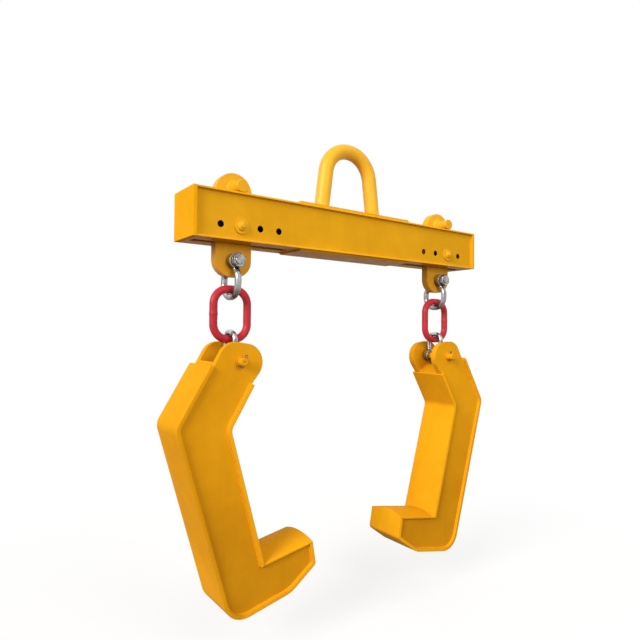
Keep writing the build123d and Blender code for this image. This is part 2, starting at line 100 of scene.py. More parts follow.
# Sizes that only the looks need
PLATE_EDGE, SMALL_EDGE = 0.0025, 0.0012
LOCK_HOLE_GROWTH = 1.16
BAIL_SUNK, BAIL_STEP = 0.010, 0.008
BOLT_PITCH, BOLT_THREAD, PIN_PITCH, PIN_THREAD = 0.004, 0.0022, 0.0055, 0.003
THREAD_START, THREAD_END = 0.004, 0.003
LINK_STEP, LINK_SEAM, LINK_SEAM_REACH = 0.005, 0.0016, 0.011
WIRE, SPLIT_EYE, SPLIT_EYE_GAP, SPLIT_NECK = 0.0027, 0.0085, 0.002, 0.0005
SPLIT_LEGS = ((0.013, -0.014), (0.004, -0.006), (0.0, -0.002))
VOXEL, FLOW_ROUNDS = 0.0022, 20
WELD_STEP, WELD_PITCH, WELD_SUNK, WELD_RIPPLE = 0.0025, 0.0085, 0.0008, 0.0007
WEB_LEG, DOUBLER_LEG, BAIL_LEG, CROSS_PIN_LEG = 0.007, 0.010, 0.015, 0.020
CLAW_LEG, CLAW_HEAD_LEG, CLAW_ROOT_LEG = 0.007, 0.020, 0.010
BAND_STEP, LINED_STEP, PAD_WELD_START = 0.006, 0.005, -0.005
# Band sides whose middle lies nearer the beam's middle than this get the lips' painted highlight
SOLE_FROM = 0.90
CORNER_REACH = 0.03
JOIN_REACH, SAME_LEVEL, FLAT_TURN, FACES_DOWN = 2e-5, 1e-5, radians(0.4), -0.9
CORNER_EASE = 1.2
NUT_CHAMFER, NUT_FACE = radians(30), 0.98
NUT_LEVELS = (0.0, 0.04, 0.08, 0.12, 0.16, 0.84, 0.88, 0.92, 0.96, 1.0)

# Counts of parts, facets and points
BAIL_FACETS, LINK_FACETS, WIRE_FACETS = 48, 32, 14
THREAD_PARTS, BEAD_PARTS, CORNER_PARTS = 6, 5, 6
BAIL_WELD_POINTS, ROOT_WELD_HALF = 180, 65
CROSS_PIN_WELD_START, CROSS_PIN_WELD_TURN, CROSS_PIN_WELD_PARTS = -40, 260, 120
SPLIT_EYE_TURNS = range(20, 341, 20)

# Angles in degrees past which an edge is shaded sharp
PLATE_SHARP, TURNED_SHARP, NUT_SHARP, BAR_SHARP, FORGED_SHARP, WELD_SHARP = 30, 40, 28, 50, 60, 75

# Each side's sign mirrors the left-hand drawing, and each face's sign is its direction along Y
SIDES = (("left", 1), ("right", -1))
FACES = (("front", -1), ("rear", 1))


# Materials
def make_node(tree, kind, inputs=None, **settings):
    """Adds a shader node, with values or links for its named or numbered inputs."""
    made = tree.nodes.new(kind)
    for key, value in settings.items():
        setattr(made, key, value)
    for key, value in (inputs or {}).items():
        if isinstance(value, bpy.types.NodeSocket):
            tree.links.new(value, made.inputs[key])
        else:
            made.inputs[key].default_value = value
    return made


def ramp(tree, factor, stops):
    """A colour ramp through (place, colour) stops."""
    made = make_node(tree, "ShaderNodeValToRGB", {"Fac": factor})
    elements = made.color_ramp.elements
    while len(elements) < len(stops):
        elements.new(0.5)
    for element, (place, colour) in zip(elements, stops):
        element.position = place
        element.color = (*colour, 1) if hasattr(colour, "__len__") else (colour, colour, colour, 1)
    return made.outputs["Color"]


def mix(tree, factor, first, second, blend="MIX"):
    """Mixes two colours."""
    made = make_node(tree, "ShaderNodeMix", data_type="RGBA", blend_type=blend)
    for socket, value in ((made.inputs[0], factor), (made.inputs[6], first), (made.inputs[7], second)):
        if isinstance(value, bpy.types.NodeSocket):
            tree.links.new(value, socket)
        else:
            socket.default_value = (*value, 1) if hasattr(value, "__len__") else value
    return made.outputs[2]


def maths(tree, operation, first, second):
    """One arithmetic step on two values."""
    return make_node(tree, "ShaderNodeMath", {0: first, 1: second}, operation=operation).outputs[0]


def noise(tree, place, scale, detail=2, roughness=0.5, stretch=None):
    """Noise at a scale per metre, stretched along the frame's axes if asked."""
    if stretch:
        place = make_node(tree, "ShaderNodeMapping", {"Vector": place, "Scale": stretch}).outputs[0]
    inputs = {"Vector": place, "Scale": scale, "Detail": detail, "Roughness": roughness}
    return make_node(tree, "ShaderNodeTexNoise", inputs).outputs["Fac"]


def bump(tree, height, strength, distance, below=None):
    """A bump in metres of relief, on top of the one below it."""
    inputs = {"Height": height, "Strength": strength, "Distance": distance}
    if below:
        inputs["Normal"] = below
    return make_node(tree, "ShaderNodeBump", inputs).outputs["Normal"]


def mark(tree, name):
    """A mark that the mesh carries on its faces: 1 where it is set."""
    return make_node(tree, "ShaderNodeAttribute", attribute_name=name).outputs["Fac"]


def new_material(name):
    """An empty node material with its tree, its shader and its object coordinates."""
    made = bpy.data.materials.new(name)
    made.use_nodes = True
    tree = made.node_tree
    shader = tree.nodes["Principled BSDF"]
    place = make_node(tree, "ShaderNodeTexCoord").outputs["Object"]
    return made, tree, shader, place


def openness(tree):
    """How open a spot is to the sky: low in a corner."""
    inputs = {"Distance": CORNER_REACH}
    return make_node(tree, "ShaderNodeAmbientOcclusion", inputs, samples=8).outputs["AO"]


# Colours are linear. A coat has a light tone, a dark tone and the lighter tone of its lips, which is a painted
# highlight.
# The raw steel tone is near-black: bare steel inside the box, darkened as painted shade
# The zinc corner and underside tones are painted shade
RAW_SHADED_STEEL, ZINC_CORNER_SHADE, ZINC_UNDERSIDE_SHADE = (0.016, 0.012, 0.009), (0.05, 0.045, 0.04), (0.085, 0.066, 0.050)
# The corner tones of the coats stand for dirt and painted shade in the corners
CORNER_DIRT_AND_SHADE, PRIMER = (0.20, 0.095, 0.015), (0.16, 0.10, 0.06)
RED_CORNER_DIRT_AND_SHADE, RED_PRIMER = (0.10, 0.008, 0.008), (0.12, 0.08, 0.07)
YELLOW, PALE_YELLOW, LIP_HIGHLIGHT_YELLOW = (0.800, 0.392, 0.012), (0.820, 0.415, 0.015), (0.890, 0.442, 0.013)
BEAM_COAT = (YELLOW, (0.720, 0.348, 0.010), LIP_HIGHLIGHT_YELLOW)
# The end plates' coat is the beam's coat painted lighter and more saturated, as painted light
END_LIT_COAT = ((0.915, 0.423, 0.006), (0.845, 0.385, 0.005), LIP_HIGHLIGHT_YELLOW)
BAIL_COAT = ((0.870, 0.462, 0.026), PALE_YELLOW, LIP_HIGHLIGHT_YELLOW)
HANGER_COAT = (PALE_YELLOW, YELLOW, LIP_HIGHLIGHT_YELLOW)
HANGER_PLATE_COAT = ((0.830, 0.436, 0.020), PALE_YELLOW, LIP_HIGHLIGHT_YELLOW)
CLAW_COAT = ((0.845, 0.379, 0.009), (0.765, 0.335, 0.008), (0.920, 0.427, 0.011))
LINK_COAT = ((0.540, 0.026, 0.040), (0.430, 0.019, 0.031), (0.560, 0.028, 0.042))
ZINC_TONES = ((0.69, 0.69, 0.685), (0.12, 0.116, 0.108))
WIRE_TONES = ((0.26, 0.22, 0.18), (0.12, 0.09, 0.07))

# Painted shade darkens paint downward: the height of its darkest end, the height where it ends, and the tint
# at the darkest.
LUG_PAINTED_SHADE = (-0.90, -0.52, (0.85, 0.73, 0.95))
FOOT_PAINTED_SHADE = (-2.55, -2.12, (0.865, 0.835, 0.90))


def enamel(name, coat, gloss_level, roughness, peel, painted_shade=None, corner_dirt_and_shade=CORNER_DIRT_AND_SHADE, primer=PRIMER):
    """Sprayed enamel: mottled tone, lips lighter as a painted highlight, dirt and painted shade in the
    corners, painted shade downward if asked, chips along the edges, orange peel.
    """
    light, dark, highlit_lip = coat
    made, tree, shader, place = new_material(name)
    shader.inputs["Specular IOR Level"].default_value = gloss_level
    broad = noise(tree, place, 1.9, 3, 0.55)
    sprayed = noise(tree, place, 9, 4, 0.6)
    fine = noise(tree, place, 210, 3, 0.6)
    runs = noise(tree, place, 1.0, 2, 0.5, (26, 26, 2.2))
    colour = ramp(tree, broad, ((0.36, dark), (0.64, light)))
    for pattern, weakest in ((sprayed, 0.94), (fine, 0.96), (runs, 0.975)):
        colour = mix(tree, 1.0, colour, ramp(tree, pattern, ((0.32, weakest), (0.66, 1.0))), "MULTIPLY")
    # Painted shade: darker towards the bottom, where less light falls
    if painted_shade:
        shaded, lit, shade_tint = painted_shade
        height = make_node(tree, "ShaderNodeSeparateXYZ", {"Vector": place}).outputs["Z"]
        share = make_node(tree, "ShaderNodeMapRange", {"Value": height, "From Min": shaded, "From Max": lit})
        shade = ramp(tree, share.outputs[0], ((0.0, shade_tint), (1.0, 1.0)))
        colour = mix(tree, 1.0, colour, shade, "MULTIPLY")
    # Lips are painted lighter: a painted highlight on edges that catch the light
    colour = mix(tree, maths(tree, "MULTIPLY", mark(tree, "highlit_lip"), 0.8), colour, highlit_lip)
    # Corners darken by ambient occlusion, in patches: dirt and painted shade together
    patchy = noise(tree, place, 14, 4, 0.65)
    hidden = ramp(tree, openness(tree), ((0.30, 1.0), (0.75, 0.0)))
    dirt_and_shade = maths(tree, "MULTIPLY", hidden, ramp(tree, patchy, ((0.3, 0.15), (0.7, 0.6))))
    colour = mix(tree, dirt_and_shade, colour, corner_dirt_and_shade)
    flake = noise(tree, place, 55, 5, 0.7)
    chip = maths(tree, "MULTIPLY", mark(tree, "edge"), ramp(tree, flake, ((0.62, 0.0), (0.66, 1.0))))
    colour = mix(tree, chip, colour, primer)
    # Raw steel inside the box is painted near-black: bare steel and painted shade
    colour = mix(tree, mark(tree, "raw_shaded"), colour, RAW_SHADED_STEEL)
    tree.links.new(colour, shader.inputs["Base Color"])
    gloss = ramp(tree, patchy, ((0.3, roughness - 0.05), (0.7, roughness + 0.09)))
    gloss = mix(tree, chip, gloss, (0.75, 0.75, 0.75))
    tree.links.new(gloss, shader.inputs["Roughness"])
    relief = bump(tree, noise(tree, place, 7), 0.3, 0.002)
    relief = bump(tree, noise(tree, place, peel), 0.25, 0.0006, relief)
    relief = bump(tree, maths(tree, "SUBTRACT", 1.0, chip), 0.5, 0.0004, relief)
    tree.links.new(relief, shader.inputs["Normal"])
    return made


def zinc(name, tones, roughness):
    """Hot-dip zinc: a spangle of crystals, clouds of duller zinc, painted shade in the corners and on what
    faces down.
    """
    light, dark = tones
    made, tree, shader, place = new_material(name)
    shader.inputs["Metallic"].default_value = 1.0
    crystals = make_node(tree, "ShaderNodeTexVoronoi", {"Vector": place, "Scale": 260.0, "Randomness": 1.0})
    spangle = make_node(tree, "ShaderNodeSeparateColor", {"Color": crystals.outputs["Color"]}).outputs[0]
    cloud = noise(tree, place, 24, 4, 0.6)
    tone = maths(tree, "ADD", maths(tree, "MULTIPLY", spangle, 0.2), maths(tree, "MULTIPLY", cloud, 0.8))
    colour = ramp(tree, tone, ((0.25, dark), (0.65, light)))
    # Painted shade in the corners
    colour = mix(tree, ramp(tree, openness(tree), ((0.3, 0.75), (0.8, 0.0))), colour, ZINC_CORNER_SHADE)
    # Painted shade on what faces down
    normal = make_node(tree, "ShaderNodeTexCoord").outputs["Normal"]
    upward = make_node(tree, "ShaderNodeSeparateXYZ", {"Vector": normal}).outputs["Z"]
    upward = maths(tree, "ADD", maths(tree, "MULTIPLY", upward, 0.5), 0.5)
    colour = mix(tree, ramp(tree, upward, ((0.20, 0.88), (0.64, 0.0))), colour, ZINC_UNDERSIDE_SHADE)
    tree.links.new(colour, shader.inputs["Base Color"])
    gloss = ramp(tree, tone, ((0.2, roughness + 0.08), (0.7, roughness - 0.04)))
    tree.links.new(gloss, shader.inputs["Roughness"])
    relief = bump(tree, cloud, 0.12, 0.0012)
    relief = bump(tree, noise(tree, place, 420), 0.06, 0.0003, relief)
    tree.links.new(relief, shader.inputs["Normal"])
    return made


MATERIALS = {
    "beam_yellow": enamel("beam_enamel", BEAM_COAT, 0.01, 0.34, 260),
    "hanger_yellow": enamel("hanger_enamel", HANGER_COAT, 0.12, 0.36, 230),
    "claw_yellow": enamel("claw_enamel", CLAW_COAT, 0.01, 0.50, 240),
    "red_paint": enamel("link_enamel", LINK_COAT, 0.26, 0.34, 300, corner_dirt_and_shade=RED_CORNER_DIRT_AND_SHADE, primer=RED_PRIMER),
    "galvanised_steel": zinc("zinc_coat", ZINC_TONES, 0.24),
    "bare_steel": zinc("bright_wire", WIRE_TONES, 0.38),
}
# The end plates wear a lighter, more saturated copy of the beam's coat: painted light
END_LIT_PAINT = enamel("end_lit_enamel", END_LIT_COAT, 0.01, 0.50, 260)
BAIL_PAINT = enamel("bail_enamel", BAIL_COAT, 0.30, 0.38, 260)
# The hanger plates are lighter on the head as painted light and darker down the lug as painted shade under the
# beam
HANGER_PLATE_PAINT = enamel("hanger_plate_enamel", HANGER_PLATE_COAT, 0.12, 0.36, 230, LUG_PAINTED_SHADE)
# The claws' side plates darken towards the feet as painted shade
CLAW_SIDE_PAINT = enamel("claw_side_enamel", CLAW_COAT, 0.01, 0.50, 240, FOOT_PAINTED_SHADE)


# Meshes
def add_piece(name, shape, body, slot, sharp, stands_for=(), flats=(), paint=None):
    """Turns a bmesh into a piece that rides on a body and wears its slot's material or a paint of its own."""
    for face in shape.faces:
        face.smooth = True
    for face in flats:
        face.smooth = False
    bmesh.ops.recalc_face_normals(shape, faces=shape.faces)
    mesh = bpy.data.meshes.new(name)
    shape.to_mesh(mesh)
    shape.free()
    mesh.materials.clear()
    mesh.materials.append(paint or MATERIALS[slot])
    mesh.polygons.foreach_set("material_index", [0] * len(mesh.polygons))
    mesh.set_sharp_from_angle(angle=radians(sharp))
    piece = bpy.data.objects.new(name, mesh)
    bpy.context.scene.collection.objects.link(piece)
    weigh = piece.modifiers.new("even_normals", "WEIGHTED_NORMAL")
    weigh.keep_sharp = True
    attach(piece, body)
    if stands_for:
        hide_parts(*stands_for)


def node_body(node):
    """The body that a CAD node rides on, and its material slot."""
    cad = frame["nodes"][node]
    return cad["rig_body"], cad.data.materials[0].name


def joined(node):
    """A CAD node's mesh with its split points joined."""
    shape = bmesh.new()
    shape.from_mesh(frame["nodes"][node].data)
    bmesh.ops.remove_doubles(shape, verts=shape.verts, dist=JOIN_REACH)
    return shape


def outlines(node, axis):
    """The closed outlines of a plate's flat side seen along an axis, and the plate's two heights on it."""
    shape = joined(node)
    heights = [point.co[axis] for point in shape.verts]
    low, high = min(heights), max(heights)

    def on_top(face):
        return all(point.co[axis] > high - SAME_LEVEL for point in face.verts)

    following = {}
    for face in shape.faces:
        if on_top(face):
            for corner in face.loops:
                if not on_top(corner.link_loop_radial_next.face):
                    following[corner.vert] = corner.link_loop_next.vert
    loops = []
    while following:
        start, point = following.popitem()
        points = [start]
        while point is not start:
            points.append(point)
            point = following.pop(point)
        loops.append([Vector((p.co[(axis + 1) % 3], p.co[(axis + 2) % 3])) for p in points])
    shape.free()
    return loops, low, high


def eased(loop, radius, corner=radians(30), parts=4):
    """A closed outline whose sharp corners are rounded."""
    made = []
    for i, point in enumerate(loop):
        into = (point - loop[i - 1]).normalized()
        out = (loop[(i + 1) % len(loop)] - point).normalized()
        turn = into.angle(out)
        if turn < corner:
            made.append(point)
            continue
        reach = radius * tan(turn / 2)
        start, end = point - into * reach, point + out * reach
        for k in range(parts + 1):
            t = k / parts
            made.append(start * (1 - t) ** 2 + point * (2 * t * (1 - t)) + end * t ** 2)
    return made


def inward(loop):
    """The direction and share by which each point of an outline moves when the outline draws in."""
    made = []
    for i, point in enumerate(loop):
        into = (point - loop[i - 1]).normalized()
        out = (loop[(i + 1) % len(loop)] - point).normalized()
        first, second = Vector((-into.y, into.x)), Vector((-out.y, out.x))
        made.append((first + second) / (1 + first.dot(second)))
    return made


# An edge is rounded in two steps, so the third ring from the top starts the upright side
ROUND_STEP, UPRIGHT = 1 - sqrt(0.5), 2


def prism(loops, low, high, width, place, highlit_lip=None):
    """A plate between two heights over closed outlines, with rounded edges.

    Its lip, which is painted lighter as a painted highlight, is its rim, its flat sides or none.
    """
    shape = bmesh.new()
    marks = shape.faces.layers.float
    for name in ("edge", "highlit_lip", "raw_shaded"):
        marks.new(name)
    edge, lit = marks["edge"], marks["highlit_lip"]
    half_step = ROUND_STEP * width
    levels = ((high, width), (high - half_step, half_step), (high - width, 0),
              (low + width, 0), (low + half_step, half_step), (low, width))
    upper, lower, flat = [], [], []
    for loop in loops:
        drawn = inward(loop)
        rings = [[shape.verts.new(place(p + d * inset, height)) for p, d in zip(loop, drawn)]
                 for height, inset in levels]
        for this, following in zip(rings, rings[1:]):
            for j in range(len(loop)):
                i = (j + 1) % len(loop)
                face = shape.faces.new((this[j], following[j], following[i], this[i]))
                face[edge] = 0.0 if this is rings[UPRIGHT] else 1.0
                face[lit] = 1.0 if highlit_lip == "rim" else 0.0
        upper += rings[0]
        lower += rings[-1]
        flat.append([(p + d * width).to_3d() for p, d in zip(loop, drawn)])
    caps = []
    for triangle in tessellate_polygon(flat):
        caps.append(shape.faces.new([upper[i] for i in triangle]))
        caps.append(shape.faces.new([lower[i] for i in reversed(triangle)]))
    for face in caps:
        face[lit] = 1.0 if highlit_lip == "sides" else 0.0
    return shape, caps


def widened(loop, growth):
    """A closed outline grown about its middle."""
    middle = sum(loop, Vector((0, 0))) / len(loop)
    return [middle + (point - middle) * growth for point in loop]


def plate(node, axis, width, highlit_lip=None, raw_and_shaded=None, hole_growth=None, paint=None):
    """A flat CAD plate with its edges broken and its corners eased.

    A test on a face's middle tells if the face is raw inside steel, painted near-black as shade, and
    hole_growth widens the holes.
    """
    loops, low, high = outlines(node, axis)
    if hole_growth:
        rim = max(loops, key=lambda loop: max(p.x for p in loop) - min(p.x for p in loop))
        loops = [loop if loop is rim else widened(loop, hole_growth) for loop in loops]

    def place(point, height):
        made = [0, 0, 0]
        made[axis], made[(axis + 1) % 3], made[(axis + 2) % 3] = height, point.x, point.y
        return made

    shape, caps = prism([eased(loop, CORNER_EASE * width) for loop in loops], low, high, width, place, highlit_lip)
    if raw_and_shaded:
        raw_shaded = shape.faces.layers.float["raw_shaded"]
        for face in shape.faces:
            face[raw_shaded] = 1.0 if raw_and_shaded(face.calc_center_median()) else 0.0
    body, slot = node_body(node)
    add_piece(f"{node}_skin", shape, body, slot, PLATE_SHARP, (node,), caps, paint)


def dress(node, width, corner=radians(35), leave_under=False):
    """A CAD node with its sharp edges rounded, except round its underside if asked."""
    shape = joined(node)
    bmesh.ops.dissolve_limit(shape, angle_limit=FLAT_TURN, verts=shape.verts, edges=shape.edges)
    edge = shape.faces.layers.float.new("edge")
    crisp = [e for e in shape.edges if e.is_manifold and e.calc_face_angle(0) > corner
             and not (leave_under and min(f.normal.z for f in e.link_faces) < FACES_DOWN)]
    made = bmesh.ops.bevel(shape, geom=crisp, offset=width, offset_type="OFFSET", segments=2, profile=0.5,
                           affect="EDGES", clamp_overlap=False, loop_slide=True, miter_outer="ARC")
    for face in made["faces"]:
        face[edge] = 1.0
    body, slot = node_body(node)
    add_piece(f"{node}_skin", shape, body, slot, PLATE_SHARP, (node,))


def inside_web(middle):
    """Tells if a spot of a web lies behind its outer face."""
    return abs(middle.y) < WEB_FACE - PLATE_EDGE


X_AXIS, Y_AXIS, Z_AXIS = 0, 1, 2
# The flanges' rims get the lips' painted highlight
for node in ("beam_top_flange", "beam_bottom_flange"):
    plate(node, Z_AXIS, PLATE_EDGE, "rim")
for node in ("top_doubler", "bottom_doubler"):
    plate(node, Z_AXIS, PLATE_EDGE)
# The webs' inner faces and hole walls, and the diaphragms, are raw steel painted near-black as shade
for node in ("beam_front_web", "beam_rear_web"):
    plate(node, Y_AXIS, PLATE_EDGE, raw_and_shaded=inside_web, hole_growth=LOCK_HOLE_GROWTH)
for node in ("diaphragm_left_outer", "diaphragm_left_inner",
             "diaphragm_right_inner", "diaphragm_right_outer"):
    plate(node, X_AXIS, PLATE_EDGE, raw_and_shaded=lambda middle: True)
for side, sign in SIDES:
    plate(f"end_plate_{side}", X_AXIS, PLATE_EDGE, paint=END_LIT_PAINT)
    plate(f"hanger_plate_{side}", Y_AXIS, PLATE_EDGE, paint=HANGER_PLATE_PAINT)
    plate(f"claw_front_plate_{side}", Y_AXIS, PLATE_EDGE, paint=CLAW_SIDE_PAINT)
    plate(f"claw_rear_plate_{side}", Y_AXIS, PLATE_EDGE, paint=CLAW_SIDE_PAINT)
    # The inner flanges' flat sides get the lips' painted highlight
    plate(f"claw_inner_flange_{side}", Y_AXIS, PLATE_EDGE, "sides")
    plate(f"claw_closing_plate_{side}", Y_AXIS, PLATE_EDGE)
    for washer in ("lock_washer_front", "lock_washer_rear", "claw_washer"):
        plate(f"{washer}_{side}", Y_AXIS, SMALL_EDGE)
    dress(f"cross_pin_{side}", SMALL_EDGE)
    dress(f"claw_foot_pad_{side}", PLATE_EDGE, leave_under=True)


def grid_faces(shape, rings, closed):
    """Joins rings of points into a skin, closed on itself or capped at both ends."""
    count = len(rings)
    for i in range(count if closed else count - 1):
        this, following = rings[i], rings[(i + 1) % count]
        for j in range(len(this)):
            k = (j + 1) % len(this)
            shape.faces.new((this[j], this[k], following[k], following[j]))
    if not closed:
        shape.faces.new(reversed(rings[0]))
        shape.faces.new(rings[-1])


def turned(rings, x, z, facets=64, thread=None):
    """A body of revolution about an axis along Y, with a thread (start, end, pitch, depth) if asked."""
    shape = bmesh.new()
    stations = list(rings)
    if thread:
        start, end, pitch, depth = thread
        steps = round(abs(end - start) / pitch * THREAD_PARTS)
        radius = min(r for y, r in rings if y in (start, end))
        run = [(start + (end - start) * i / steps, radius) for i in range(1, steps)]
        first = [y for y, r in rings].index(start) + 1
        stations[first:first] = run
    made = []
    for y, radius in stations:
        ring = []
        for j in range(facets):
            angle = 2 * pi * j / facets
            cut = 0.0
            if thread and min(start, end) < y < max(start, end):
                turn = (abs(y - start) / pitch - j / facets) % 1.0
                cut = depth * (1 - abs(2 * turn - 1))
            reach = radius - cut
            ring.append(shape.verts.new((x + reach * cos(angle), y, z + reach * sin(angle))))
        made.append(ring)
    grid_faces(shape, made, False)
    return shape


def hex_nut(x, y, z, flats, height, bore, facets=96):
    """A hexagon nut with cone-chamfered corners, between y and y + height, round an axis along Y."""
    shape = bmesh.new()
    slope = tan(NUT_CHAMFER)
    face = NUT_FACE * flats / 2
    made = []
    for level in NUT_LEVELS:
        depth = min(level, 1 - level) * abs(height)
        ring = []
        for j in range(facets):
            angle = 2 * pi * j / facets
            from_flat = (angle + pi / 6) % (pi / 3) - pi / 6
            reach = min(flats / 2 / cos(from_flat), face + depth / slope)
            ring.append(shape.verts.new((x + reach * cos(angle), y + level * height, z + reach * sin(angle))))
        made.append(ring)
    for level in (1.0, 0.0):
        made.append([shape.verts.new((x + bore * cos(2 * pi * j / facets), y + level * height,
                                      z + bore * sin(2 * pi * j / facets))) for j in range(facets)])
    grid_faces(shape, made, True)
    return shape


def swept(path, radius_at, facets, closed=False):
    """A round bar along a path in an upright plane that faces the front, with a radius for each point."""
    shape = bmesh.new()
    normal = Vector((0, 1, 0))
    rings = []
    count = len(path)
    for i, point in enumerate(path):
        before = path[i - 1] if i or closed else point
        after = path[(i + 1) % count] if i < count - 1 or closed else point
        side = (after - before).normalized().cross(normal)
        radius = radius_at(i)
        ring = []
        for j in range(facets):
            angle = 2 * pi * j / facets
            ring.append(shape.verts.new(point + radius * (cos(angle) * side + sin(angle) * normal)))
        rings.append(ring)
    grid_faces(shape, rings, closed)
    return shape


def rounded(corners, radii, step, closed=False, fill=True):
    """Points along a flat polyline of (u, v) corners whose bends have the radii given."""
    points = [Vector(c) for c in corners]
    count = len(points)
    made = []

    def run(start, end):
        parts = max(1, round((end - start).length / step)) if fill else 1
        made.extend(start.lerp(end, i / parts) for i in range(parts))

    bends = []
    for i in range(count):
        if not closed and i in (0, count - 1):
            bends.append((points[i], points[i], [points[i]]))
            continue
        into = (points[i] - points[i - 1]).normalized()
        out = (points[(i + 1) % count] - points[i]).normalized()
        turn = into.angle_signed(out)
        radius = radii[i if closed else i - 1]
        reach = radius * tan(abs(turn) / 2)
        start = points[i] - into * reach
        side = Vector((into.y, -into.x)) if turn > 0 else Vector((-into.y, into.x))
        centre = start + side * radius
        parts = max(1, round(abs(turn) * radius / step))
        arc = []
        for k in range(parts + 1):
            spin = Matrix.Rotation(-turn * k / parts, 2)
            arc.append(centre + spin @ (start - centre))
        bends.append((arc[0], arc[-1], arc))
    for i in range(count if closed else count - 1):
        made.extend(bends[i][2][:-1])
        run(bends[i][1], bends[(i + 1) % count][0])
    if not closed:
        made.append(points[-1])
    return made


def forged(node):
    """A shackle bow whose bar flows into its eyes as a forging's does."""
    rough = bpy.data.objects.new("rough_forging", bpy.data.meshes.new("rough_forging"))
    shape = joined(node)
    shape.to_mesh(rough.data)
    shape.free()
    bpy.context.scene.collection.objects.link(rough)
    skin = rough.modifiers.new("skin", "REMESH")
    skin.mode, skin.voxel_size = "VOXEL", VOXEL
    flow = rough.modifiers.new("flow", "SMOOTH")
    flow.factor, flow.iterations = 0.5, FLOW_ROUNDS
    graph = bpy.context.evaluated_depsgraph_get()
    made = bmesh.new()
    made.from_mesh(rough.evaluated_get(graph).to_mesh())
    bpy.data.objects.remove(rough)
    body, slot = node_body(node)
    add_piece(f"{node}_skin", made, body, slot, FORGED_SHARP, (node,))


# Bail: one bent bar, whose feet end inside the doubler
bail_lean = atan2(BAIL_FOOT_X - BAIL_SHOULDER_X, BAIL_RADIUS - DOUBLER_TOP)
bail_bend = (BAIL_SHOULDER_X - BAIL_CROWN_FLAT / 2) / tan((pi / 2 - bail_lean) / 2)
bail_down = Vector((sin(bail_lean), -cos(bail_lean))) * BAIL_SUNK
bail_foot = Vector((BAIL_FOOT_X, DOUBLER_TOP)) + bail_down
bail_corners = ((-bail_foot.x, bail_foot.y), (-BAIL_SHOULDER_X, BAIL_RADIUS),
                (BAIL_SHOULDER_X, BAIL_RADIUS), bail_foot)
bail_run = rounded(bail_corners, (bail_bend, bail_bend), BAIL_STEP)
bail = swept([Vector((p.x, 0, p.y)) for p in bail_run], lambda i: BAIL_RADIUS, BAIL_FACETS)
add_piece("lifting_bail_skin", bail, "beam", "beam_yellow", BAR_SHARP, ("lifting_bail",), paint=BAIL_PAINT)

